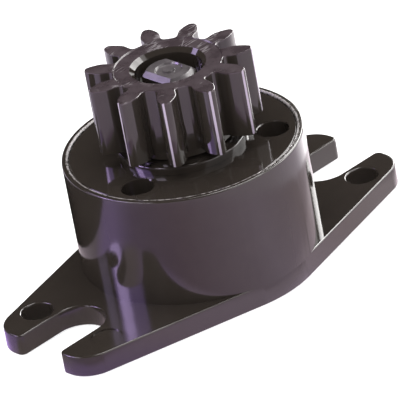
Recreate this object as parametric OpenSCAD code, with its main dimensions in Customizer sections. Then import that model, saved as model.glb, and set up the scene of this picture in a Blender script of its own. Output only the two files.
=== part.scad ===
// Gear-type rotary damper: a round housing on a slotted flange, filled with a viscous fluid that
// slows the drum of a rotor, and a pinion on the rotor shaft.
// The origin is the centre of the flange underside, Z is the shaft axis and X runs along the flange.

/* [Housing] */
// Outside diameter of the round housing
body_d = 15; // [14:0.1:16.5]
// Height of the housing rim above the flange underside
rim_z = 8.5; // [8:0.05:9.5]
// Rounding of the outer edge of the rim
rim_round = 0.18; // [0.1:0.02:0.24]
// Thickness of the rim that stands around the lid
rim_wall = 0.4; // [0.35:0.05:0.6]
// Thickness of the housing wall around the fluid chamber
chamber_wall = 1; // [0.8:0.05:1.3]
// Thickness of the housing floor
floor_t = 1.2; // [0.9:0.05:1.5]
// Thickness of the fixed ring that stands in the groove of the rotor drum
ring_t = 1.2; // [0.8:0.1:1.4]
// Diameter of the pivot pin in the middle of the floor
pivot_d = 2; // [1.6:0.1:2.4]
// Height of the pivot pin above the floor
pivot_h = 2.2; // [1.6:0.1:2.8]

/* [Flange] */
// Thickness of the flange
flange_t = 1.35; // [1:0.05:2]
// Length of the flange from fork tip to fork tip
flange_len = 27.9; // [26.5:0.1:32]
// Radius of each rounded fork tip
nose_r = 1.95; // [1.6:0.05:2.4]
// Distance between the centres of the two fork tips at one end
nose_span = 4.9; // [4.6:0.1:5.6]
// Width of the open fixing slots
slot_w = 3.5; // [3:0.1:4]
// Distance between the centres of the two rounded slot roots
slot_pitch = 21.4; // [20.6:0.1:23]
// Rounding of the corners at the slot mouths
mouth_round = 0.4; // [0.1:0.05:0.45]
// Diameter of the two locating holes
locator_d = 2; // [1.6:0.1:2.2]
// Distance of the locating holes from the middle, along the flange
locator_x = 11.15; // [10.6:0.05:11.6]
// Distance of the locating holes from the middle, across the flange
locator_y = 3.1; // [2.9:0.05:3.3]
// Depth of the ejector marks on the other two forks
mark_depth = 0.08; // [0.04:0.01:0.2]

/* [Lid] */
// Thickness of the lid
lid_t = 1.7; // [1.5:0.05:2]
// Drop of the lid face below the rim
lid_drop = 0.08; // [0:0.01:0.2]
// Radial gap between the lid and the rim
lid_gap = 0.03; // [0.01:0.01:0.08]
// Chamfer on each side of the seam between the lid and the rim
seam_chamfer = 0.14; // [0.06:0.02:0.2]
// Diameter of the raised collar around the shaft
collar_d = 8.1; // [7.6:0.1:8.6]
// Height of the collar above the lid face
collar_h = 0.5; // [0.3:0.05:0.7]
// Rounding of the collar edge
collar_round = 0.12; // [0.06:0.02:0.2]
// Diameter of the three blind holes in the lid
lid_hole_d = 2; // [1.6:0.1:2.2]
// Diameter of the circle on which the blind holes lie
lid_hole_circle = 11.16; // [10.9:0.02:11.4]
// Depth of the blind holes
lid_hole_depth = 1; // [0.5:0.1:1.2]
// Angle of the first blind hole from the X axis
lid_hole_angle = 76.2; // [0:0.1:120]

/* [Rotor] */
// Diameter of the shaft where it passes through the lid
shaft_d = 4; // [3.7:0.1:4.4]
// Radial running gap at the shaft and at the pivot
running_gap = 0.05; // [0.02:0.01:0.09]
// Width of the fluid gap around the drum
film_gap = 0.25; // [0.2:0.01:0.3]
// Thickness of the outer skirt of the drum
skirt_t = 1.2; // [0.8:0.1:1.4]
// Thickness of the web that carries the skirt
web_t = 0.95; // [0.7:0.05:1.3]
// Diameter of the flat-sided shaft end that drives the pinion
drive_d = 3.4; // [3:0.1:3.6]
// Width of the shaft end across its two flats
drive_flats = 2.36; // [2:0.02:2.6]
// Depth of the shaft end face below the hub face of the pinion
shaft_drop = 0.28; // [0.1:0.02:0.6]
// Chamfer around the shaft end face
shaft_chamfer = 0.3; // [0.1:0.05:0.4]
// Diameter of the gate dimple in the shaft end face
dimple_d = 1.6; // [1.2:0.1:1.7]
// Depth of the gate dimple
dimple_depth = 0.12; // [0.06:0.02:0.2]
// Diameter of the gate stub in the middle of the dimple
stub_d = 0.8; // [0.5:0.1:1]

/* [Shaft seal] */
// Thickness of the sealing ring
seal_t = 1; // [0.8:0.05:1.1]
// Gap between the sealing ring and the faces around it
seal_gap = 0.03; // [0.01:0.01:0.06]

/* [Pinion] */
// Number of teeth
teeth = 11; // [10:1:13]
// Module of the teeth, the pitch diameter divided by their number
tooth_module = 0.8; // [0.75:0.01:0.85]
// Pressure angle of the teeth
pressure_angle = 20; // [18:0.5:22]
// Amount by which each tooth is thinner than its gap on the pitch circle, for backlash
backlash = 0.14; // [0:0.01:0.16]
// Fillet at the tooth roots
root_fillet = 0.3; // [0.1:0.05:0.4]
// Rounding of the tooth tips
tip_round = 0.15; // [0.05:0.01:0.18]
// Height of the teeth
face_w = 4.4; // [3.5:0.1:6]
// Diameter of the pinion hub
hub_d = 6.74; // [6.2:0.02:7]
// Height of the hub below the teeth
hub_h = 0.43; // [0.3:0.01:1]
// Depth of the hub face below the upper ends of the teeth
hub_drop = 0.07; // [0.02:0.01:0.2]
// Gap between the collar of the lid and the pinion
pinion_gap = 0.15; // [0.1:0.05:0.4]
// Gap between the shaft end and the bore of the pinion
drive_gap = 0.02; // [0.01:0.01:0.06]
// Diameter of the round well around the shaft end
well_d = 4.2; // [3.8:0.05:4.3]
// Depth of the well below the hub face
well_depth = 1.3; // [0.8:0.1:2]
// Diameter of the countersink at the mouth of the well
countersink_d = 4.77; // [4.4:0.01:5.2]
// Angle of the first tooth from the X axis
tooth_angle = 93.6; // [0:0.1:120]

/* [Hidden] */
$fn = 96;
plastic = "#262325";
rubber = "#1a1a1a";
// Number of straight steps along a tooth flank, around its root fillet and around its tip
flank_steps = 7;
fillet_steps = 4;
tip_steps = 3;
// Length by which a cut runs out past the face that it opens
cut = 1;

body_r = body_d / 2;
seat_r = body_r - rim_wall;
chamber_r = body_r - chamber_wall;
nose_x = flange_len / 2 - nose_r;
nose_y = nose_span / 2;
slot_x = slot_pitch / 2;
// Angle between X and the straight edges of the flange
edge_angle = asin((body_r - nose_r) / norm([nose_x, nose_y])) - atan2(nose_y, nose_x);

lid_r = seat_r - lid_gap;
lid_top = rim_z - lid_drop;
lid_z = lid_top - lid_t;
collar_r = collar_d / 2;
collar_top = lid_top + collar_h;
lid_holes = 3;

shaft_r = shaft_d / 2;
drum_r = chamber_r - film_gap;
drum_z = floor_t + film_gap;
drum_top = lid_z - film_gap;
groove_top = drum_top - web_t;
groove_out_r = drum_r - skirt_t;
ring_out_r = groove_out_r - film_gap;
ring_in_r = ring_out_r - ring_t;
ring_top = groove_top - film_gap;
groove_in_r = ring_in_r - film_gap;
pivot_r = pivot_d / 2;
pivot_top = floor_t + pivot_h;

seal_r = seal_t / 2;
seal_mid_r = shaft_r + seal_gap + seal_r;
gland_r = seal_mid_r + seal_r + seal_gap;
gland_top = lid_z + seal_t + 2 * seal_gap;

hub_z = collar_top + pinion_gap;
tooth_z = hub_z + hub_h;
tooth_top = tooth_z + face_w;
hub_top = tooth_top - hub_drop;
shaft_top = hub_top - shaft_drop;
drive_r = drive_d / 2;
bore_r = drive_r + drive_gap;
// Length of the bars that cut the flats, past the shaft on both sides
bar_len = shaft_d + 2 * cut;
well_r = well_d / 2;
well_z = hub_top - well_depth;
sink_r = countersink_d / 2;

pitch_r = tooth_module * teeth / 2;
base_r = pitch_r * cos(pressure_angle);
tip_r = pitch_r + tooth_module;
// The tooth root lies one and a quarter modules inside the pitch circle
root_r = pitch_r - 1.25 * tooth_module;

// Angle, in degrees, by which an involute has turned where its pressure angle is a
function involute_turn(a) = tan(a) * 180 / PI - a;
// Pressure angle of the involute at radius r
function flank_angle(r) = acos(base_r / r);
// Angle of the flank from the middle of its tooth at radius r
function flank_half(r) = base_half - involute_turn(flank_angle(r));
function polar(r, a) = [r * cos(a), r * sin(a)];
// Point at share t of a curve that leaves a towards b and comes into c from b
function bend(a, b, c, t) = (1 - t) * (1 - t) * a + 2 * t * (1 - t) * b + t * t * c;
function turned(p, a) = [p.x * cos(a) - p.y * sin(a), p.x * sin(a) + p.y * cos(a)];
function reversed(list) = [for (i = [len(list) - 1 : -1 : 0]) list[i]];

// Angle by which the backlash moves each flank towards the middle of its tooth
thinning = backlash / 4 / pitch_r * 180 / PI;
// Half the angle that a tooth takes up at its base circle
base_half = 90 / teeth + involute_turn(pressure_angle) - thinning;
// Turn of the fillet centre from the radial foot of the flank
fillet_turn = asin(root_fillet / (root_r + root_fillet));
fillet_centre = polar(root_r + root_fillet, base_half + fillet_turn);
fillet_start = base_half + fillet_turn + 180;
fillet_sweep = 90 - fillet_turn;
// The tip rounding leaves the flank and reaches the tip circle at the same distance from the corner
flank_end_r = tip_r - tip_round;
flank_end = polar(flank_end_r, flank_half(flank_end_r));
tip_corner = polar(tip_r, flank_half(tip_r));
tip_end = polar(tip_r, flank_half(tip_r) - tip_round / tip_r * 180 / PI);

// One side of a tooth from the root circle to the tip, for a tooth that points along X
fillet_side = [
    for (i = [0 : fillet_steps])
        fillet_centre + polar(root_fillet, fillet_start + fillet_sweep * i / fillet_steps)
];
involute_side = [
    for (i = [0 : flank_steps])
        let (r = base_r + (flank_end_r - base_r) * i / flank_steps)
        polar(r, flank_half(r))
];
tip_side = [for (i = [1 : tip_steps]) bend(flank_end, tip_corner, tip_end, i / tip_steps)];
tooth_side = concat(fillet_side, involute_side, tip_side);
tooth_outline = concat([for (p = tooth_side) [p.x, -p.y]], reversed(tooth_side));
gear_outline = [
    for (k = [0 : teeth - 1])
        for (p = tooth_outline)
            turned(p, tooth_angle + k * 360 / teeth)
];

// One corner of the flange: the fork tip, then the two ends of the straight edge that runs
// from the fork to the housing and is tangent to both
edge_normal = [sin(edge_angle), cos(edge_angle)];
fork_corner = [
    [nose_x + nose_r, nose_y],
    [nose_x, nose_y] + nose_r * edge_normal,
    body_r * edge_normal
];
flange_corners = concat(
    fork_corner,
    [for (p = reversed(fork_corner)) [-p.x, p.y]],
    [for (p = fork_corner) [-p.x, -p.y]],
    [for (p = reversed(fork_corner)) [p.x, -p.y]]
);

// Fixing slot that is open at the +X end of the flange, with rounded corners at its mouth
module slot_outline() {
    translate([slot_x, 0])
        circle(d = slot_w);
    translate([slot_x, -slot_w / 2])
        square([flange_len / 2 - slot_x + cut, slot_w]);
    for (side = [0, 1])
        mirror([0, side])
            translate([flange_len / 2 - mouth_round, slot_w / 2])
                difference() {
                    square([mouth_round + cut, mouth_round]);
                    translate([0, mouth_round])
                        circle(mouth_round);
                }
}

module flange_outline() {
    difference() {
        union() {
            polygon(flange_corners);
            circle(body_r);
            for (x = [-nose_x, nose_x], y = [-nose_y, nose_y])
                translate([x, y])
                    circle(nose_r);
        }
        for (turn = [0, 180])
            rotate(turn) {
                slot_outline();
                translate([locator_x, -locator_y])
                    circle(d = locator_d);
            }
    }
}

// Half section of the solid housing, with a rounded rim
module shell_section() {
    square([body_r, rim_z - rim_round]);
    square([body_r - rim_round, rim_z]);
    translate([body_r - rim_round, rim_z - rim_round])
        circle(rim_round);
}

// Half section of what is hollow in the housing: the fluid chamber around the fixed ring and
// the pivot, the seat of the lid and the chamfer of the seam
module hollow_section() {
    difference() {
        translate([0, floor_t])
            square([chamber_r, rim_z - floor_t + cut]);
        translate([ring_in_r, 0])
            square([ring_t, ring_top]);
        square([pivot_r, pivot_top]);
    }
    translate([0, lid_z])
        square([seat_r, rim_z - lid_z + cut]);
    polygon([
        [0, rim_z - seam_chamfer],
        [seat_r, rim_z - seam_chamfer],
        [seat_r + seam_chamfer + cut, rim_z + cut],
        [0, rim_z + cut]
    ]);
}

module housing() {
    color(plastic)
        difference() {
            union() {
                linear_extrude(flange_t)
                    flange_outline();
                rotate_extrude()
                    shell_section();
            }
            rotate_extrude()
                hollow_section();
            for (turn = [0, 180])
                rotate(turn)
                    translate([locator_x, locator_y, flange_t - mark_depth])
                        cylinder(d = locator_d, h = mark_depth + cut);
        }
}

// Half section of the lid: a disc with a chamfered edge, the collar, the shaft bore and the
// gland of the seal
module lid_section() {
    difference() {
        union() {
            polygon([
                [0, lid_z],
                [lid_r, lid_z],
                [lid_r, lid_top - seam_chamfer],
                [lid_r - seam_chamfer, lid_top],
                [0, lid_top]
            ]);
            translate([0, lid_z]) {
                square([collar_r, collar_top - lid_z - collar_round]);
                square([collar_r - collar_round, collar_top - lid_z]);
            }
            translate([collar_r - collar_round, collar_top - collar_round])
                circle(collar_round);
        }
        square([shaft_r + running_gap, collar_top + cut]);
        square([gland_r, gland_top]);
    }
}

module lid() {
    color(plastic)
        difference() {
            rotate_extrude()
                lid_section();
            for (k = [0 : lid_holes - 1])
                rotate(lid_hole_angle + k * 360 / lid_holes)
                    translate([lid_hole_circle / 2, 0, lid_top - lid_hole_depth])
                        cylinder(d = lid_hole_d, h = lid_hole_depth + cut);
        }
}

// Half section of the rotor: the drum with its groove, the pivot bore and the round shaft
module rotor_section() {
    difference() {
        union() {
            translate([0, drum_z])
                square([drum_r, drum_top - drum_z]);
            translate([0, drum_z])
                square([shaft_r, hub_z - drum_z]);
        }
        translate([groove_in_r, 0])
            square([groove_out_r - groove_in_r, groove_top]);
        square([pivot_r + running_gap, pivot_top + running_gap]);
    }
}

// Half section of the shaft end before its flats are cut
module drive_section() {
    polygon([
        [0, drum_top],
        [drive_r, drum_top],
        [drive_r, shaft_top - shaft_chamfer],
        [drive_r - shaft_chamfer, shaft_top],
        [0, shaft_top]
    ]);
}

// Bar that holds all that lies between the flats of the shaft end, widened by a gap
module between_flats(gap) {
    width = drive_flats + 2 * gap;
    translate([-width / 2, -bar_len / 2, drum_top - cut])
        cube([width, bar_len, hub_top - drum_top + 2 * cut]);
}

// The same bar with a roof that carries the chamfer of the end face along both flats
module roofed_bar() {
    half = drive_flats / 2;
    eaves = shaft_top - shaft_chamfer;
    translate([0, bar_len / 2, 0])
        rotate([90, 0, 0])
            linear_extrude(bar_len)
                polygon([
                    [-half, drum_top - cut],
                    [half, drum_top - cut],
                    [half, eaves],
                    [0, eaves + half],
                    [-half, eaves]
                ]);
}

module rotor() {
    color(plastic)
        difference() {
            union() {
                rotate_extrude()
                    rotor_section();
                intersection() {
                    rotate_extrude()
                        drive_section();
                    roofed_bar();
                }
            }
            translate([0, 0, shaft_top - dimple_depth])
                difference() {
                    cylinder(d = dimple_d, h = dimple_depth + cut);
                    cylinder(d = stub_d, h = dimple_depth);
                }
        }
}

module shaft_seal() {
    color(rubber)
        rotate_extrude()
            translate([seal_mid_r, lid_z + seal_gap + seal_r])
                circle(seal_r);
}

// Bore of the pinion: flat-sided below, a round well above, with a countersink at its mouth
module drive_bore() {
    intersection() {
        translate([0, 0, hub_z - cut])
            cylinder(r = bore_r, h = well_z - hub_z + 2 * cut);
        between_flats(drive_gap);
    }
    translate([0, 0, well_z])
        cylinder(r = well_r, h = well_depth + cut);
    translate([0, 0, hub_top - sink_r + well_r])
        cylinder(r1 = well_r, r2 = sink_r + cut, h = sink_r - well_r + cut);
}

module pinion() {
    color(plastic)
        difference() {
            union() {
                translate([0, 0, tooth_z])
                    linear_extrude(face_w)
                        polygon(gear_outline);
                translate([0, 0, hub_z])
                    cylinder(d = hub_d, h = hub_top - hub_z);
            }
            translate([0, 0, hub_top])
                cylinder(d = hub_d, h = hub_drop + cut);
            drive_bore();
        }
}

housing();
lid();
rotor();
shaft_seal();
pinion();
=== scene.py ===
from math import acos, asin, cos, pi, radians, sin, tan

import bmesh
import bpy
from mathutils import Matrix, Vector


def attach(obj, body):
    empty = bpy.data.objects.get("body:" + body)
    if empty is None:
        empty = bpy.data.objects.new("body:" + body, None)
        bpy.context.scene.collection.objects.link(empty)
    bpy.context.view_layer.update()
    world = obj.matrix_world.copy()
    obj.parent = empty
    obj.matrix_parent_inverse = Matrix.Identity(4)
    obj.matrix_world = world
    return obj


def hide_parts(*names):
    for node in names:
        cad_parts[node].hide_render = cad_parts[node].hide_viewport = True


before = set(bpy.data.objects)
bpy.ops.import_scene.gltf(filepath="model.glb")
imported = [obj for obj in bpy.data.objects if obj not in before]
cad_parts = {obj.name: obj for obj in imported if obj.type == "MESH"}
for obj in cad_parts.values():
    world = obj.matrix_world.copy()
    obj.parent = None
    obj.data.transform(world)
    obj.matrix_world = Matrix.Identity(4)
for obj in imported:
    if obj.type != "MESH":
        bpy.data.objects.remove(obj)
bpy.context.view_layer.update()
mm = 0.001
mergeGap = 0.0005 * mm
print("frame loaded:", ", ".join(sorted(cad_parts)))


# helpers for modelling by hand

edgeTest = {"level": 0.002, "steep": 0.4, "flat": 0.9}  # reach in mm, then how far a face may tilt
shading = {"sharp": 32, "weight": 80}


def letGo():  # out of edit mode, nothing selected
    if bpy.context.object and bpy.context.object.mode != "OBJECT":
        bpy.ops.object.mode_set(mode="OBJECT")
    bpy.ops.object.select_all(action="DESELECT")


def workOn(piece, mode="OBJECT"):
    letGo()
    piece.select_set(True)
    bpy.context.view_layer.objects.active = piece
    bpy.ops.object.mode_set(mode=mode)


def settle():  # place, turn and scale go into the mesh
    bpy.ops.object.transform_apply(location=True, rotation=True, scale=True)


def roundEdges(piece, height, width, steps):  # where a flat end at this height meets its side walls
    workOn(piece, "EDIT")
    bpy.ops.mesh.select_mode(type="EDGE")
    bpy.ops.mesh.select_all(action="DESELECT")
    mesh = bmesh.from_edit_mesh(piece.data)
    mesh.normal_update()
    for edge in mesh.edges:
        level = all(abs(v.co.z - height * mm) <= edgeTest["level"] * mm for v in edge.verts)
        tilts = sorted(abs(face.normal.z) for face in edge.link_faces)
        if level and len(tilts) == 2 and tilts[0] < edgeTest["steep"] and tilts[1] > edgeTest["flat"]:
            edge.select_set(True)
    mesh.select_flush_mode()
    bmesh.update_edit_mesh(piece.data)
    bpy.ops.mesh.bevel(offset=width * mm, segments=steps, loop_slide=False, clamp_overlap=False)
    bpy.ops.object.mode_set(mode="OBJECT")


def drawLine(name, points):  # a point that is pulled along from place to place, left in edit mode
    letGo()
    bpy.ops.mesh.primitive_plane_add(size=mm)
    piece = bpy.context.object
    piece.name = name
    piece.data.name = name
    bpy.ops.object.mode_set(mode="EDIT")
    bpy.ops.mesh.select_mode(type="VERT")
    bpy.ops.mesh.select_all(action="SELECT")
    bpy.ops.mesh.merge(type="CENTER")
    bpy.ops.transform.translate(value=Vector(points[0]) * mm)
    for here, there in zip(points, points[1:]):
        bpy.ops.mesh.extrude_vertices_move(TRANSFORM_OT_translate={"value": (Vector(there) - Vector(here)) * mm})
    return piece


def tidyFaces(gap=mergeGap):  # weld doubles, then all faces outwards
    bpy.ops.mesh.select_all(action="SELECT")
    if gap:
        bpy.ops.mesh.remove_doubles(threshold=gap)
    bpy.ops.mesh.normals_make_consistent(inside=False)
    bpy.ops.object.mode_set(mode="OBJECT")


def spunPiece(name, section, steps, closed=True):  # half section (radius, height), turned round the shaft
    piece = drawLine(name, [(r, 0, z) for r, z in (section + section[:1] if closed else section)])
    bpy.ops.mesh.select_all(action="SELECT")
    bpy.ops.mesh.spin(steps=steps, angle=2 * pi, center=(0, 0, 0), axis=(0, 0, 1))
    tidyFaces()
    return piece


def fillAndRaise(rise, gap=mergeGap):  # a closed line becomes a prism
    bpy.ops.mesh.select_all(action="SELECT")
    bpy.ops.mesh.remove_doubles(threshold=gap)
    bpy.ops.mesh.edge_face_add()
    bpy.ops.mesh.extrude_region_move(TRANSFORM_OT_translate={"value": (0, 0, rise * mm)})
    tidyFaces()


def post(radius, low, high, corners, x=0, y=0):  # upright cylinder from one height to another
    bpy.ops.mesh.primitive_cylinder_add(vertices=corners, radius=radius * mm, depth=(high - low) * mm,
                                        location=Vector((x, y, (low + high) / 2)) * mm)
    return bpy.context.object


def cutFlats(piece, width, height=0, slopes=(0,)):  # one flat on each side, in edit mode, with any slope above it
    workOn(piece, "EDIT")
    for side in (1, -1):
        for slope in slopes:
            bpy.ops.mesh.select_all(action="SELECT")
            bpy.ops.mesh.bisect(plane_co=(side * width / 2 * mm, 0, height * mm), plane_no=(side, 0, slope),
                                use_fill=True, clear_outer=True, threshold=mergeGap)


def copyAt(piece, place=(0, 0, 0), turn=0.0):
    workOn(piece)
    bpy.ops.object.duplicate()
    twin = bpy.context.object
    twin.location = Vector(place) * mm
    twin.rotation_euler.z = radians(turn)
    settle()
    return twin


def joinUp(pieces, name):
    letGo()
    for piece in pieces:
        piece.select_set(True)
    bpy.context.view_layer.objects.active = pieces[0]
    if len(pieces) > 1:
        bpy.ops.object.join()
    whole = bpy.context.object
    whole.name = name
    whole.data.name = name
    settle()
    return whole


def combine(piece, tool, operation):
    workOn(piece)
    step = piece.modifiers.new("combine", "BOOLEAN")
    step.operation = operation
    step.solver = "EXACT"
    step.object = tool
    bpy.ops.object.modifier_apply(modifier=step.name)
    bpy.data.objects.remove(tool)


def cutAway(piece, cutters):
    combine(piece, joinUp(cutters, "cutter"), "DIFFERENCE")


def addOn(piece, others):  # fused into one skin
    for other in others:
        combine(piece, other, "UNION")


def smoothOff(piece):  # smooth faces, flats kept flat by area
    workOn(piece)
    bpy.ops.object.shade_smooth_by_angle(angle=radians(shading["sharp"]))
    even = piece.modifiers.new("even", "WEIGHTED_NORMAL")
    even.keep_sharp = True
    even.weight = shading["weight"]
    bpy.ops.object.modifier_apply(modifier=even.name)


def arc(cx, cy, radius, start, end, steps):  # points along an arc, angles in degrees
    angles = [radians(start + (end - start) * i / steps) for i in range(steps + 1)]
    return [(cx + radius * cos(a), cy + radius * sin(a)) for a in angles]


# camera, at the photograph's viewing angle

cameraSet = {
    "place": (-207.18, -252.963, 179.255), "turn": (61.423, 9.466, -44.5068), "lens": 544.08,
    "sensor": 36, "clip": (0.01, 20),
}


def makeCamera():
    s = cameraSet
    letGo()
    bpy.ops.object.camera_add(location=Vector(s["place"]) * mm, rotation=[radians(a) for a in s["turn"]])
    camera = bpy.context.object
    camera.name = "photoCamera"
    camera.data.sensor_width = s["sensor"]
    camera.data.lens = s["lens"]
    camera.data.clip_start, camera.data.clip_end = s["clip"]
    bpy.context.scene.camera = camera


makeCamera()
print("camera set")


# housing: flange plate, cup, fixed ring and pivot, in mm

housingSet = {
    "thick": 1.35, "length": 27.9, "noseRadius": 1.95, "noseSpan": 4.9, "hullAngle": 0.2,
    "slotWidth": 3.5, "slotPitch": 21.4, "mouthRound": 0.4, "mouthRun": 1, "cutSpan": (-1, 3),
    "holeRadius": 1.0, "holeAt": (11.15, 3.1), "pinLength": 4, "pinMiddle": 0.5, "markDepth": 0.08,
    "topRound": 0.1, "topSteps": 3, "footRound": 0.05, "footSteps": 2,
    "wallRadius": 7.5, "rimHeight": 8.5, "rimRound": 0.11, "rimSteps": 5, "cupSink": 0.02,
    "seatRadius": 7.1, "seatHeight": 6.72, "seamChamfer": 0.08,
    "chamberRadius": 6.5, "floorHeight": 1.2, "floorSink": 0.1,
    "ringRadii": (3.6, 4.8), "ringHeight": 5.27, "pivotRadius": 1.0, "pivotHeight": 3.4,
    "wallFacets": 192, "noseFacets": 64, "slotFacets": 32, "mouthFacets": 8, "holeFacets": 64,
    "ringFacets": 96, "pivotFacets": 48,
}


def makePlate():  # the flange, with its slots, holes and marks
    s = housingSet
    noseX = s["length"] / 2 - s["noseRadius"]
    noseY = s["noseSpan"] / 2
    letGo()
    discs = [post(s["wallRadius"], 0, s["thick"], s["wallFacets"])]
    discs += [post(s["noseRadius"], 0, s["thick"], s["noseFacets"], x, y)
              for x in (-noseX, noseX) for y in (-noseY, noseY)]
    plate = joinUp(discs, "housingShell")
    bpy.ops.object.mode_set(mode="EDIT")  # a skin around the five discs is the lozenge
    bpy.ops.mesh.select_all(action="SELECT")
    bpy.ops.mesh.convex_hull()
    bpy.ops.mesh.select_all(action="SELECT")
    bpy.ops.mesh.dissolve_limited(angle_limit=radians(s["hullAngle"]))
    tidyFaces()

    half = s["slotWidth"] / 2
    mouth = s["mouthRound"]
    endX = s["length"] / 2
    outX = endX + s["mouthRun"]
    low, high = s["cutSpan"]
    slotLine = arc(s["slotPitch"] / 2, 0, half, 90, 270, s["slotFacets"])
    slotLine += arc(endX - mouth, -half - mouth, mouth, 90, 0, s["mouthFacets"])
    slotLine += [(outX, -half - mouth), (outX, half + mouth)]
    slotLine += arc(endX - mouth, half + mouth, mouth, 0, -90, s["mouthFacets"])
    slotRight = drawLine("slotRight", [(x, y, low) for x, y in slotLine + slotLine[:1]])
    fillAndRaise(high - low)
    slotLeft = copyAt(slotRight, turn=180)

    letGo()
    pinHalf = s["pinLength"] / 2
    pin = post(s["holeRadius"], -pinHalf, pinHalf, s["holeFacets"])
    holeX, holeY = s["holeAt"]
    holes = [copyAt(pin, (side * holeX, -side * holeY, s["pinMiddle"])) for side in (1, -1)]
    cutAway(plate, [slotRight, slotLeft] + holes)
    roundEdges(plate, s["thick"], s["topRound"], s["topSteps"])
    roundEdges(plate, 0, s["footRound"], s["footSteps"])
    markMiddle = s["thick"] - s["markDepth"] + pinHalf
    marks = [copyAt(pin, (side * holeX, side * holeY, markMiddle)) for side in (1, -1)]
    bpy.data.objects.remove(pin)
    floor, chamber = s["floorHeight"], s["chamberRadius"]
    well = spunPiece("well", [(0, floor), (chamber, floor), (chamber, high), (0, high)], s["wallFacets"], False)
    cutAway(plate, marks + [well])
    return plate


def makeHousing():
    s = housingSet
    plate = makePlate()
    wall, rim, rimRound = s["wallRadius"], s["rimHeight"], s["rimRound"]
    seat, chamfer, chamber = s["seatRadius"], s["seamChamfer"], s["chamberRadius"]
    cupFoot = s["thick"] - s["topRound"] - s["cupSink"]  # below the rounded top of the plate
    cup = spunPiece("cup", [(wall, cupFoot)]
                    + arc(wall - rimRound, rim - rimRound, rimRound, 0, 90, s["rimSteps"])
                    + [(seat + chamfer, rim), (seat, rim - chamfer), (seat, s["seatHeight"]),
                       (chamber, s["seatHeight"]), (chamber, cupFoot)], s["wallFacets"])
    foot = s["floorHeight"] - s["floorSink"]
    inner, outer = s["ringRadii"]
    top = s["ringHeight"]
    ring = spunPiece("ring", [(inner, foot), (outer, foot), (outer, top), (inner, top)], s["ringFacets"])
    pin, tip = s["pivotRadius"], s["pivotHeight"]
    pivot = spunPiece("pivot", [(0, foot), (pin, foot), (pin, tip), (0, tip)], s["pivotFacets"], False)
    addOn(plate, [cup, ring, pivot])
    smoothOff(plate)
    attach(plate, "housing")
    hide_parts("housing")
    return plate


housingShell = makeHousing()
print("housing shell:", len(housingShell.data.polygons), "faces")


# lid with its collar, gland and blind holes, in mm

lidSet = {
    "radius": 7.07, "low": 6.72, "top": 8.42, "chamfer": 0.08,
    "collarRadius": 4.05, "collarTop": 8.92, "collarRound": 0.12, "collarSteps": 5,
    "boreRadius": 2.05, "glandRadius": 3.06, "glandTop": 7.78,
    "holes": 3, "holeRadius": 1.0, "holeCircle": 5.58, "holeFloor": 7.42, "holeTurn": 76.2, "holeFlare": 0.06,
    "facets": 192, "holeFacets": 64,
}


def makeLid():
    s = lidSet
    edge, top, chamfer = s["radius"], s["top"], s["chamfer"]
    bore, gland, collarRound = s["boreRadius"], s["glandRadius"], s["collarRound"]
    lid = spunPiece("lidDisc", [(bore, s["glandTop"]), (gland, s["glandTop"]), (gland, s["low"]), (edge, s["low"]),
                                (edge, top - chamfer), (edge - chamfer, top), (s["collarRadius"], top)]
                    + arc(s["collarRadius"] - collarRound, s["collarTop"] - collarRound, collarRound, 0, 90,
                          s["collarSteps"])
                    + [(bore, s["collarTop"])], s["facets"])
    hole, flare = s["holeRadius"], s["holeFlare"]
    mouth = spunPiece("mouth", [(0, s["holeFloor"]), (hole, s["holeFloor"]), (hole, top - flare),
                                (hole + 2 * flare, top + flare), (0, top + flare)], s["holeFacets"], False)
    mouths = []
    for k in range(s["holes"]):
        a = radians(s["holeTurn"] + 360 * k / s["holes"])
        mouths.append(copyAt(mouth, (s["holeCircle"] * cos(a), s["holeCircle"] * sin(a), 0)))
    bpy.data.objects.remove(mouth)
    cutAway(lid, mouths)
    smoothOff(lid)
    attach(lid, "housing")
    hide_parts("lid")
    return lid


lidDisc = makeLid()
print("lid:", len(lidDisc.data.polygons), "faces")


# rotor: drum, neck and the flat-sided shaft end, in mm

rotorSet = {
    "drumRadius": 6.25, "drumLow": 1.45, "drumTop": 6.47, "groove": (3.35, 5.05), "grooveTop": 5.52,
    "pivotBore": 1.05, "pivotTop": 3.45, "neckRadius": 2.0, "neckTop": 9.07,
    "endRadius": 1.7, "endTop": 13.55, "endChamfer": 0.3, "endSink": 0.2, "flats": 2.36,
    "dimpleRadius": 0.8, "dimpleFlare": 0.1, "dimpleDepth": 0.12, "cutRun": 0.04,
    "stubRadius": 0.4, "stubTaper": 0.06,
    "drumFacets": 128, "endFacets": 96, "dimpleFacets": 64,
}


def makeRotor():
    s = rotorSet
    inner, outer = s["groove"]
    low, top, end = s["drumLow"], s["drumTop"], s["endTop"]
    drum = spunPiece("rotorBody", [(0, s["pivotTop"]), (s["pivotBore"], s["pivotTop"]), (s["pivotBore"], low),
                                   (inner, low), (inner, s["grooveTop"]), (outer, s["grooveTop"]), (outer, low),
                                   (s["drumRadius"], low), (s["drumRadius"], top), (s["neckRadius"], top),
                                   (s["neckRadius"], s["neckTop"]), (0, s["neckTop"])], s["drumFacets"], False)
    letGo()
    shaft = post(s["endRadius"], s["neckTop"] - s["endSink"], end, s["endFacets"])
    settle()
    roundEdges(shaft, end, s["endChamfer"], 1)
    cutFlats(shaft, s["flats"], end - s["endChamfer"], slopes=(0, 1))  # the slope is the chamfer along the flat
    tidyFaces(gap=0)
    floor = end - s["dimpleDepth"]
    over = end + s["cutRun"]
    dimple = spunPiece("dimple", [(s["stubRadius"], floor), (s["dimpleRadius"], floor),
                                  (s["dimpleRadius"] + s["dimpleFlare"], over),
                                  (s["stubRadius"] - s["stubTaper"], over)], s["dimpleFacets"])
    cutAway(shaft, [dimple])
    addOn(drum, [shaft])
    smoothOff(drum)
    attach(drum, "rotor")
    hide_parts("rotor")
    return drum


rotorBody = makeRotor()
print("rotor:", len(rotorBody.data.polygons), "faces")


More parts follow.
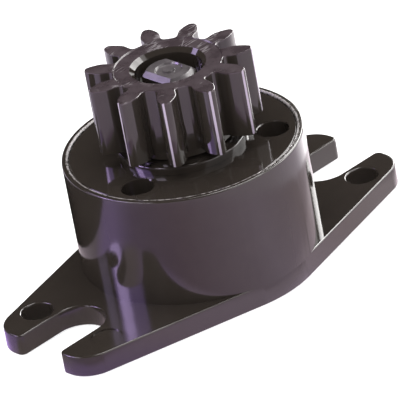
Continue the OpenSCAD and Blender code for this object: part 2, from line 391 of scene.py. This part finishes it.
# pinion: eleven involute teeth, a low hub and a stepped bore, in mm

pinionSet = {
    "teeth": 11, "module": 0.8, "pressureAngle": 20, "backlash": 0.14, "rootDepth": 1.25, "turn": 93.6,
    "rootFillet": 0.3, "tipRound": 0.15, "low": 9.5, "top": 13.9, "edgeRound": 0.07, "edgeSteps": 2,
    "hubRadius": 3.37, "hubLow": 9.07, "hubTop": 13.83, "hubChamfer": 0.06, "hubSink": 0.1,
    "wellRadius": 2.1, "wellFloor": 12.53, "sinkRadius": 2.385, "eyeRun": 0.05,
    "boreRadius": 1.72, "boreFlats": 2.4, "boreSpan": (7.5, 13.5),
    "filletSteps": 6, "flankSteps": 8, "tipSteps": 4, "eyeFacets": 128, "hubFacets": 96, "boreFacets": 64,
}


def toothLine():  # one tooth from its own root to the next tooth's root
    s = pinionSet
    pitchR = s["module"] * s["teeth"] / 2
    slope = radians(s["pressureAngle"])
    baseR = pitchR * cos(slope)
    tipR = pitchR + s["module"]
    rootR = pitchR - s["rootDepth"] * s["module"]
    fillet, tip = s["rootFillet"], s["tipRound"]
    baseHalf = pi / 2 / s["teeth"] + tan(slope) - slope - s["backlash"] / 4 / pitchR

    def shares(steps):  # from 0 to 1
        return [i / steps for i in range(steps + 1)]

    def flank(r):  # angle of the involute from the middle of the tooth
        a = acos(baseR / r)
        return baseHalf - tan(a) + a

    def polar(r, a):
        return Vector((r * cos(a), r * sin(a)))

    def turned(p, angle):
        return (p.x * cos(angle) - p.y * sin(angle), p.x * sin(angle) + p.y * cos(angle))

    swing = asin(fillet / (rootR + fillet))
    centre = polar(rootR + fillet, baseHalf + swing)
    side = [centre + polar(fillet, baseHalf + swing + pi + (pi / 2 - swing) * t) for t in shares(s["filletSteps"])]
    endR = tipR - tip
    side += [polar(r, flank(r)) for r in [baseR + (endR - baseR) * t for t in shares(s["flankSteps"])]]
    a, b, c = polar(endR, flank(endR)), polar(tipR, flank(tipR)), polar(tipR, flank(tipR) - tip / tipR)
    side += [(1 - t) ** 2 * a + 2 * t * (1 - t) * b + t * t * c for t in shares(s["tipSteps"])[1:]]
    tooth = [Vector((p.x, -p.y)) for p in side] + side[::-1]
    start = radians(s["turn"])
    return [turned(p, start) for p in tooth] + [turned(tooth[0], start + 2 * pi / s["teeth"])]


def makePinion():
    s = pinionSet
    low, top = s["low"], s["top"]
    gear = drawLine("pinionGear", [(x, y, low) for x, y in toothLine()])
    bpy.ops.mesh.select_all(action="SELECT")
    copies = s["teeth"] - 1
    bpy.ops.mesh.spin(steps=copies, dupli=True, angle=2 * pi * copies / s["teeth"], center=(0, 0, 0), axis=(0, 0, 1))
    fillAndRaise(top - low, 2 * mergeGap)
    roundEdges(gear, top, s["edgeRound"], s["edgeSteps"])
    roundEdges(gear, low, s["edgeRound"], s["edgeSteps"])
    hub, hubTop, hubLow, chamfer = s["hubRadius"], s["hubTop"], s["hubLow"], s["hubChamfer"]
    well, sink = s["wellRadius"], s["sinkRadius"]
    flare = top - hubTop + s["eyeRun"]
    eye = spunPiece("eye", [(0, s["wellFloor"]), (well, s["wellFloor"]), (well, hubTop - sink + well), (sink, hubTop),
                            (hub - chamfer, hubTop), (hub - chamfer + flare, hubTop + flare),
                            (0, hubTop + flare)], s["eyeFacets"], False)
    hubEnd = low + s["hubSink"]
    hubDisc = spunPiece("hub", [(0, hubLow), (hub - chamfer, hubLow), (hub, hubLow + chamfer), (hub, hubEnd),
                                (0, hubEnd)], s["hubFacets"], False)
    letGo()
    bore = post(s["boreRadius"], *s["boreSpan"], s["boreFacets"])
    settle()
    cutFlats(bore, s["boreFlats"])
    tidyFaces()
    addOn(gear, [hubDisc])
    cutAway(gear, [eye])
    cutAway(gear, [bore])
    smoothOff(gear)
    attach(gear, "rotor")
    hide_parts("pinion")
    return gear


pinionGear = makePinion()
print("pinion:", len(pinionGear.data.polygons), "faces")


# node helpers

mixPlugs = {"RGBA": (6, 7, 2), "FLOAT": (2, 3, 0)}  # the Mix node's two inputs and its output


def feed(tree, source, plug):  # a socket is linked, a colour or number is set
    if isinstance(source, bpy.types.NodeSocket):
        tree.links.new(source, plug)
    else:
        plug.default_value = source


def put(tree, kind, at, **sources):  # a node with its place and what goes into it
    node = tree.nodes.new("ShaderNode" + kind)
    node.location = at
    for name, source in sources.items():
        feed(tree, source, node.inputs[name.replace("_", " ")])
    return node


def reckon(tree, operation, at, *sources, kind="Math"):
    node = put(tree, kind, at)
    node.operation = operation
    for source, plug in zip(sources, node.inputs):
        feed(tree, source, plug)
    return node.outputs["Vector" if kind == "VectorMath" and operation == "MULTIPLY" else "Value"]


def ramp(tree, at, value, span, into=(0.0, 1.0)):  # one span of values laid over another
    node = put(tree, "MapRange", at, Value=value, From_Min=span[0], From_Max=span[1], To_Min=into[0], To_Max=into[1])
    return node.outputs["Result"]


def mixBy(tree, kind, at, mask, first, second):  # from the first to the second, by the mask
    node = put(tree, "Mix", at)
    node.data_type = kind
    a, b, result = mixPlugs[kind]
    for source, plug in ((mask, 0), (first, a), (second, b)):
        feed(tree, source, node.inputs[plug])
    return node.outputs[result]


def useGroup(tree, group, at, **sources):
    node = put(tree, "Group", at)
    node.node_tree = group
    for name, source in sources.items():
        feed(tree, source, node.inputs[name])
    return node.outputs


def newGroup(name, inputs, outputs):  # the group, Object coordinates, what it is given and what it gives
    group = bpy.data.node_groups.new(name, "ShaderNodeTree")
    for socket, value in inputs.items():
        made = group.interface.new_socket(name=socket, in_out="INPUT", socket_type="NodeSocketFloat")
        made.default_value = value
    for socket in outputs:
        group.interface.new_socket(name=socket, in_out="OUTPUT", socket_type="NodeSocketFloat")
    place = put(group, "TexCoord", (-900, 0)).outputs["Object"]
    return group, place, group.nodes.new("NodeGroupInput").outputs, group.nodes.new("NodeGroupOutput").inputs


def nearTo(group, value, middle, width, y):  # 1 where a value meets its middle, 0 from a width away
    apart = reckon(group, "SUBTRACT", (-340, y), value, middle)
    size = reckon(group, "ABSOLUTE", (-180, y), apart)
    return ramp(group, (-20, y), size, (0.0, width), (1.0, 0.0))


def fromShaft(group, place, y):  # distance from the shaft axis
    level = reckon(group, "MULTIPLY", (-700, y), place, (1, 1, 0), kind="VectorMath")
    return reckon(group, "LENGTH", (-520, y), level, kind="VectorMath")


# effects that the finishes share, with noise scales per metre

scuffSet = {"scratches": ((24, 240, 1700), (-48, 320, 2100), (83, 700, 1100)),  # turn, scale along and across
            "depthScale": 900, "shift": (0.1, 0.07, 0), "patchScale": 900.0, "patchEdge": 0.12}
seamSet = {"Radius": 7.16 * mm, "Width": 0.22 * mm}
# where the painted highlight lies along the leading side of each tooth tip
tipHighlightSet = {"Teeth": 11.0, "Shift": 0.0, "From": 0.385, "To": 0.468, "Radius": 5.0 * mm}  # From and To in tooth pitches


def mouldSkin():  # flow streaks and a soft cloud, as on a moulded part
    group, place, given, out = newGroup("mouldSkin", {"Streak Size": 9.0, "Cloud Size": 0.8},
                                        ["Streaks", "Cloud", "Height"])
    spread = put(group, "Mapping", (-700, 200), Vector=place, Scale=(350, 350, 1000)).outputs["Vector"]
    stretch = put(group, "CombineXYZ", (-700, 0), X=1.0, Y=1.0, Z=given["Streak Size"]).outputs["Vector"]
    flow = reckon(group, "MULTIPLY", (-520, 200), spread, stretch, kind="VectorMath")
    cloudScale = reckon(group, "MULTIPLY", (-520, -150), given["Cloud Size"], 1 / mm)
    noises = {
        "Streaks": put(group, "TexNoise", (-340, 200), Vector=flow, Scale=1.0, Detail=3.0, Roughness=0.55),
        "Cloud": put(group, "TexNoise", (-340, -150), Vector=place, Scale=cloudScale, Detail=4.0, Roughness=0.6),
        "Height": put(group, "TexNoise", (-340, -420), Vector=place, Scale=620.0, Detail=2.0, Roughness=0.4),
    }
    for name, noise in noises.items():
        feed(group, noise.outputs["Fac"], out[name])
    return group


def handlingScuffs():  # short crossing scratches that come and go
    s = scuffSet
    group, place, given, out = newGroup("handlingScuffs", {"Density": 0.5, "Width": 0.03}, ["Scratches"])
    scratches = 0.0
    for k, (turn, along, across) in enumerate(s["scratches"]):
        y = 300 - 300 * k
        lay = put(group, "Mapping", (-700, y), Vector=place, Location=[k * step for step in s["shift"]],
                  Rotation=(0, 0, radians(turn)), Scale=(along, across, s["depthScale"]))
        lines = put(group, "TexNoise", (-520, y), Vector=lay.outputs["Vector"], Scale=1.0, Detail=1.0, Roughness=0.5)
        line = nearTo(group, lines.outputs["Fac"], 0.5, given["Width"], y)
        scratches = reckon(group, "MAXIMUM", (150 + 160 * k, y), scratches, line)
    patches = put(group, "TexNoise", (-20, -650), Vector=place, Scale=s["patchScale"], Detail=2.0)
    share = reckon(group, "SUBTRACT", (150, -650), given["Density"], patches.outputs["Fac"])
    here = ramp(group, (310, -650), share, (0.0, s["patchEdge"]))
    feed(group, reckon(group, "MULTIPLY", (640, 0), scratches, here), out["Scratches"])
    return group


def weldSeam():  # uneven ring where the lid is welded to the rim
    group, place, given, out = newGroup("weldSeam", seamSet, ["Seam"])
    ring = nearTo(group, fromShaft(group, place, 0), given["Radius"], given["Width"], 0)
    lumps = put(group, "TexNoise", (-180, -300), Vector=place, Scale=7000.0, Detail=2.0, Roughness=0.6)
    feed(group, reckon(group, "MULTIPLY", (200, 0), ring, lumps.outputs["Fac"]), out["Seam"])
    return group


def paintedTipHighlights():  # painted highlight: a narrow pale strip along the leading side of each tooth tip
    group, place, given, out = newGroup("paintedTipHighlights", tipHighlightSet, ["Rubbed"])
    circle = put(group, "TexGradient", (-700, 200), Vector=place)
    circle.gradient_type = "RADIAL"
    count = reckon(group, "MULTIPLY_ADD", (-520, 200), circle.outputs["Fac"], given["Teeth"], given["Shift"])
    within = reckon(group, "FRACT", (-340, 200), count)
    after = reckon(group, "GREATER_THAN", (-150, 350), within, given["From"])
    before = reckon(group, "LESS_THAN", (-150, 150), within, given["To"])
    outside = reckon(group, "GREATER_THAN", (-150, -200), fromShaft(group, place, -200), given["Radius"])
    strip = reckon(group, "MULTIPLY", (50, 250), after, before)
    feed(group, reckon(group, "MULTIPLY", (230, 100), strip, outside), out["Rubbed"])
    return group


skinGroup = mouldSkin()
scuffGroup = handlingScuffs()
seamGroup = weldSeam()
tipHighlightGroup = paintedTipHighlights()


# finishes

plasticSet = {
    "dark": (0.0247, 0.0198, 0.0166, 1), "light": (0.0325, 0.0263, 0.0224, 1),
    "streakSpan": (0.3, 0.7), "waveDepth": 0.02,
    # the flash tone, roughness and span on the next line are partly weld flash and partly painted glints along the
    # seam
    "flashAndGlint": (0.34, 0.31, 0.31, 1), "flashAndGlintRough": 0.35, "flashAndGlintSpan": (0.28, 0.46), "seamLift": 6.0,
    "mottleSpan": (0.36, 0.64), "endFade": 0.02,
    "worn": (0.15, 0.128, 0.138, 1), "wornRough": 0.4, "wornAt": (3.0, 1.4, 13.85), "wornReach": (1.0, 3.0),
    # the last three on the next line are the tone, roughness and depth of the painted highlight on the tooth tips
    "wornDensity": (0.62, 0.42), "tipHighlightTone": (0.37, 0.31, 0.4, 1), "tipHighlightRough": 0.25, "tipHighlightDepth": 0.07,
}
# end faces: the tones, lighter than the body, paint a mottled sheen; the roughness makes them duller
pinionEnd = {"above": 13.8, "tones": ((0.036, 0.025, 0.029, 1), (0.064, 0.048, 0.054, 1)), "rough": 0.19}
shaftEnd = {"above": 13.3, "tones": ((0.045, 0.038, 0.041, 1), (0.09, 0.078, 0.083, 1)), "rough": 0.24}
rubberSet = {"tones": ((0.008, 0.008, 0.008, 1), (0.016, 0.016, 0.016, 1)), "span": (0.3, 0.7), "rough": (0.5, 0.7)}


def blackPlastic(name, smooth, rough, wave=0.25, welded=False, ended=None, geared=False):
    s = plasticSet
    material = bpy.data.materials.new(name)
    material.use_nodes = True
    tree = material.node_tree
    tree.nodes.clear()
    skin = useGroup(tree, skinGroup, (-900, 0))
    colour = mixBy(tree, "RGBA", (-500, 250), skin["Cloud"], s["dark"], s["light"])
    roughness = ramp(tree, (-500, -50), skin["Streaks"], s["streakSpan"], (smooth, rough))
    height = skin["Height"]
    if welded:  # lumps along the seam of the lid, with a pale tone that is partly weld flash and partly painted glints
        seam = useGroup(tree, seamGroup, (-900, -350))["Seam"]
        height = reckon(tree, "MULTIPLY_ADD", (0, -350), seam, s["seamLift"], height)
        flashAndGlint = ramp(tree, (-500, -350), seam, s["flashAndGlintSpan"])
        colour = mixBy(tree, "RGBA", (-100, 250), flashAndGlint, colour, s["flashAndGlint"])
        roughness = mixBy(tree, "FLOAT", (-100, -50), flashAndGlint, roughness, s["flashAndGlintRough"])
    if ended:  # the end face is duller, and its colour is painted lighter and mottled as a sheen
        place = put(tree, "TexCoord", (-1100, -650)).outputs["Object"]
        rise = put(tree, "SeparateXYZ", (-900, -600), Vector=place).outputs["Z"]
        end = ramp(tree, (-700, -600), rise, (ended["above"] * mm, (ended["above"] + s["endFade"]) * mm))
        mottle = ramp(tree, (-700, 400), skin["Cloud"], s["mottleSpan"])
        endSheen = mixBy(tree, "RGBA", (-500, 450), mottle, *ended["tones"])
        colour = mixBy(tree, "RGBA", (-300, 300), end, colour, endSheen)
        roughness = mixBy(tree, "FLOAT", (-100, -50), end, roughness, ended["rough"])
    if geared:  # scuffs on the end face, and a painted highlight along the leading side of each tooth tip
        away = reckon(tree, "DISTANCE", (-900, -800), place, Vector(s["wornAt"]) * mm, kind="VectorMath")
        density = ramp(tree, (-700, -850), away, [reach * mm for reach in s["wornReach"]], s["wornDensity"])
        scuffs = useGroup(tree, scuffGroup, (-500, -700), Density=density)["Scratches"]
        worn = reckon(tree, "MULTIPLY", (-300, -600), scuffs, end)
        colour = mixBy(tree, "RGBA", (150, 250), worn, colour, s["worn"])
        roughness = mixBy(tree, "FLOAT", (150, -50), worn, roughness, s["wornRough"])
        # painted highlight: a pale strip along the leading side of each tooth tip
        p = pinionSet
        shift = 0.5 - (p["turn"] + 180) / 360 * p["teeth"]
        tipRadius = p["module"] * (p["teeth"] / 2 + 1)
        tipHighlightMask = useGroup(tree, tipHighlightGroup, (300, -550), Teeth=p["teeth"], Shift=shift,
                        Radius=(tipRadius - s["tipHighlightDepth"]) * mm)["Rubbed"]
        colour = mixBy(tree, "RGBA", (400, 250), tipHighlightMask, colour, s["tipHighlightTone"])
        roughness = mixBy(tree, "FLOAT", (400, -50), tipHighlightMask, roughness, s["tipHighlightRough"])
    bump = put(tree, "Bump", (300, -300), Strength=wave, Distance=s["waveDepth"] * mm, Height=height)
    shader = put(tree, "BsdfPrincipled", (600, 0), Base_Color=colour, Roughness=roughness, IOR=1.5,
                 Normal=bump.outputs["Normal"])
    put(tree, "OutputMaterial", (900, 0), Surface=shader.outputs["BSDF"])
    return material


def sealRubber():
    s = rubberSet
    material = bpy.data.materials.new("sealRubber")
    material.use_nodes = True
    tree = material.node_tree
    shader = tree.nodes["Principled BSDF"]
    skin = useGroup(tree, skinGroup, (-700, 0))
    feed(tree, mixBy(tree, "RGBA", (-350, 200), skin["Cloud"], *s["tones"]), shader.inputs["Base Color"])
    feed(tree, ramp(tree, (-350, -50), skin["Height"], s["span"], s["rough"]), shader.inputs["Roughness"])
    return material


def finishIn(piece, material):
    piece.data.materials.clear()
    piece.data.materials.append(material)


finishIn(housingShell, blackPlastic("housingPlastic", smooth=0.09, rough=0.13, welded=True))
finishIn(lidDisc, blackPlastic("lidPlastic", smooth=0.06, rough=0.1, welded=True))
finishIn(rotorBody, blackPlastic("rotorPlastic", smooth=0.1, rough=0.16, ended=shaftEnd))
finishIn(pinionGear, blackPlastic("pinionPlastic", smooth=0.05, rough=0.09, wave=0.02, ended=pinionEnd, geared=True))
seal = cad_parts["shaft_seal"]
sealFinish = sealRubber()
for place in seal.material_slots:
    place.material = sealFinish
print("finishes done")


# studio: pale floor, a tinted sheet that only shows in the gloss, and soft boxes far away

floorSet = {"size": 6.0, "drop": 0.03, "colour": (0.8, 0.8, 0.8, 1), "rough": 0.9, "glow": 0.5}
sheetSet = {
    "closeTints": [  # heading and glow of the sheet right beside the flange
        (45, (2.2, 2.1, 2.2)), (115, (0.8, 0.7, 0.75)), (150, (0.7, 0.55, 0.7)), (158, (0.95, 0.6, 1.45)),
        (167, (0.95, 0.6, 1.45)), (172, (0.6, 0.48, 0.52)), (180, (0.65, 0.5, 0.6)), (194, (1.05, 0.62, 1.7)),
        (219, (1.4, 1.0, 1.5)), (260, (1.65, 1.3, 1.75)), (323, (1.3, 1.05, 1.15)),
    ],
    "nearTints": [  # the same, where the wall mirrors it
        (45, (1.5, 1.4, 1.5)), (115, (0.6, 0.5, 0.55)), (141, (0.5, 0.4, 0.5)), (152, (0.9, 0.6, 1.4)),
        (163, (1.0, 0.65, 1.6)), (173, (0.7, 0.45, 1.1)), (180, (0.55, 0.33, 0.8)), (190, (0.5, 0.3, 0.7)),
        (218, (0.6, 0.35, 0.65)), (278, (1.4, 1.1, 1.5)), (320, (0.9, 0.7, 0.8)),
    ],
    "farTints": [  # the same, where the teeth mirror it
        (0, (4.0, 3.8, 3.9)), (45, (3.0, 2.8, 3.0)), (70, (1.6, 1.5, 1.7)), (125, (0.9, 0.75, 1.0)),
        (137, (1.6, 1.3, 1.9)), (180, (1.6, 1.3, 1.9)), (188, (1.3, 1.0, 1.4)), (335, (1.6, 1.4, 1.6)),
    ],
    "closeReach": (8.8, 9.6), "squeeze": (0.55, 1, 0),
    "nearReach": (19.8, 20.3), "nearMiddle": (-3.3, -1.8, 0), "brightest": 12.0, "drop": 0.02,
}
# painted shade: dark cards behind the part and under its two holes
shadeCardSet = {
    "drop": 0.01,
    "corners": [((-34, 9.7), (14, 19.3)), ((-12.2, 2.0), (-10.0, 4.2)), ((10.0, -4.2), (12.2, -2.0))],
}
lightSet = [  # name, heading, elevation, distance, width, height, radiance, colour, lights diffuse, shows in gloss
    ("leftBox", 142, 29, 0.6, 0.12, 0.1, 34, (0.74, 0.56, 1.0), False, True),
    ("leftFill", 149, 29, 0.62, 0.32, 0.12, 14, (0.58, 0.38, 1.0), False, True),
    ("backBox", 28, 29, 0.6, 0.19, 0.34, 19, (1.0, 0.98, 0.97), False, True),
    ("rimStrip", 170, 38, 0.6, 0.32, 0.09, 18, (0.9, 0.8, 1.0), False, True),
    ("shaftBox", 121, 34, 0.6, 0.12, 0.13, 8, (0.72, 0.58, 1.0), False, True),
    ("edgeStrip", 355, 71, 0.6, 0.22, 0.3, 14, (1.0, 0.97, 0.98), False, True),
    ("backFill", 345, 26, 0.62, 0.5, 0.4, 8, (1.0, 0.98, 0.97), False, True),
    ("rightBox", 300, 27, 0.6, 0.8, 0.5, 2.5, (1.0, 0.96, 0.97), False, True),
    ("topBox", 0, 90, 1.0, 1.2, 1.2, 2, (1.0, 1.0, 1.0), True, False),
]


def makeFloor():
    s = floorSet
    letGo()
    bpy.ops.mesh.primitive_plane_add(size=s["size"], location=(0, 0, -s["drop"] * mm))
    floor = bpy.context.object
    floor.name = "floor"
    floor.visible_glossy = False
    paper = bpy.data.materials.new("paleFloor")
    paper.use_nodes = True
    shader = paper.node_tree.nodes["Principled BSDF"]
    shader.inputs["Base Color"].default_value = s["colour"]
    shader.inputs["Roughness"].default_value = s["rough"]
    shader.inputs["Specular IOR Level"].default_value = 0
    shader.inputs["Emission Color"].default_value = (1, 1, 1, 1)
    shader.inputs["Emission Strength"].default_value = s["glow"]
    finishIn(floor, paper)


def glowSheet(name, place, size):  # lies on the floor and shows in the gloss alone
    letGo()
    bpy.ops.mesh.primitive_plane_add(size=size, location=place)
    sheet = bpy.context.object
    sheet.name = name
    sheet.visible_camera = False
    sheet.visible_diffuse = False
    sheet.visible_transmission = False
    sheet.visible_shadow = False
    material = bpy.data.materials.new(name)
    material.use_nodes = True
    material.node_tree.nodes.clear()
    finishIn(sheet, material)
    return sheet, material.node_tree


def tintZone(tree, circle, tints, row):  # colours by heading, all the way round
    zone = put(tree, "ValToRGB", (-500, 500 - 300 * row), Fac=circle)
    stops = sorted(((heading + 180) % 360 / 360, colour) for heading, colour in tints)
    stops.append((1.0, stops[0][1]))  # heading 180 closes the circle
    elements = zone.color_ramp.elements
    elements[0].position = stops[0][0]
    elements[1].position = stops[-1][0]
    for stop in stops[1:-1]:
        elements.new(stop[0])
    for element, stop in zip(elements, stops):
        element.color = (*[c / sheetSet["brightest"] for c in stop[1]], 1)
    return zone.outputs["Color"]


def makeSheet():
    s = sheetSet
    tree = glowSheet("tintSheet", (0, 0, -s["drop"] * mm), floorSet["size"])[1]
    place = put(tree, "TexCoord", (-900, 0)).outputs["Object"]
    circle = put(tree, "TexGradient", (-700, 150), Vector=place)
    circle.gradient_type = "RADIAL"
    close, near, far = [tintZone(tree, circle.outputs["Fac"], s[name], row)
                        for row, name in enumerate(("closeTints", "nearTints", "farTints"))]
    squeezed = reckon(tree, "MULTIPLY", (-900, -400), place, s["squeeze"], kind="VectorMath")
    oval = reckon(tree, "LENGTH", (-700, -400), squeezed, kind="VectorMath")  # like the flange
    pastFlange = ramp(tree, (-500, -400), oval, [reach * mm for reach in s["closeReach"]])
    apart = reckon(tree, "DISTANCE", (-700, -700), place, Vector(s["nearMiddle"]) * mm, kind="VectorMath")
    pastWall = ramp(tree, (-500, -700), apart, [reach * mm for reach in s["nearReach"]])
    tint = mixBy(tree, "RGBA", (-200, 100), pastFlange, close, near)
    tint = mixBy(tree, "RGBA", (0, 100), pastWall, tint, far)
    glow = put(tree, "Emission", (250, 0), Color=tint, Strength=s["brightest"])
    put(tree, "OutputMaterial", (450, 0), Surface=glow.outputs["Emission"])


def makeShadeCards():  # painted shade: dark cards, seen only in the gloss, behind the part where its shadow falls and under its two holes
    for near, far in shadeCardSet["corners"]:
        near, far = Vector(near), Vector(far)
        card, tree = glowSheet("shadeCard", Vector((*(near + far) / 2, -shadeCardSet["drop"])) * mm, 1)
        card.scale = (*(far - near) * mm, 1)
        black = put(tree, "BsdfDiffuse", (0, 0), Color=(0, 0, 0, 1))
        put(tree, "OutputMaterial", (200, 0), Surface=black.outputs["BSDF"])


def makeLights():
    for name, heading, rise, away, width, height, glow, colour, diffuse, gloss in lightSet:
        a, e = radians(heading), radians(rise)
        place = Vector((cos(a) * cos(e), sin(a) * cos(e), sin(e))) * away
        bpy.ops.object.light_add(type="AREA", location=place)
        box = bpy.context.object
        box.name = name
        box.rotation_euler = place.to_track_quat("Z", "Y").to_euler()
        box.data.shape = "RECTANGLE"
        box.data.size = width
        box.data.size_y = height
        box.data.energy = glow * pi * width * height
        box.data.color = colour
        box.visible_camera = False
        box.visible_diffuse = diffuse
        box.visible_glossy = gloss
    world = bpy.data.worlds.new("studioWorld")
    bpy.context.scene.world = world
    world.use_nodes = True
    world.node_tree.nodes["Background"].inputs["Color"].default_value = (1, 1, 1, 1)
    world.cycles_visibility.glossy = False
    bpy.context.scene.view_settings.view_transform = "Standard"


makeFloor()
makeSheet()
makeShadeCards()
makeLights()
print("studio lit")

letGo()
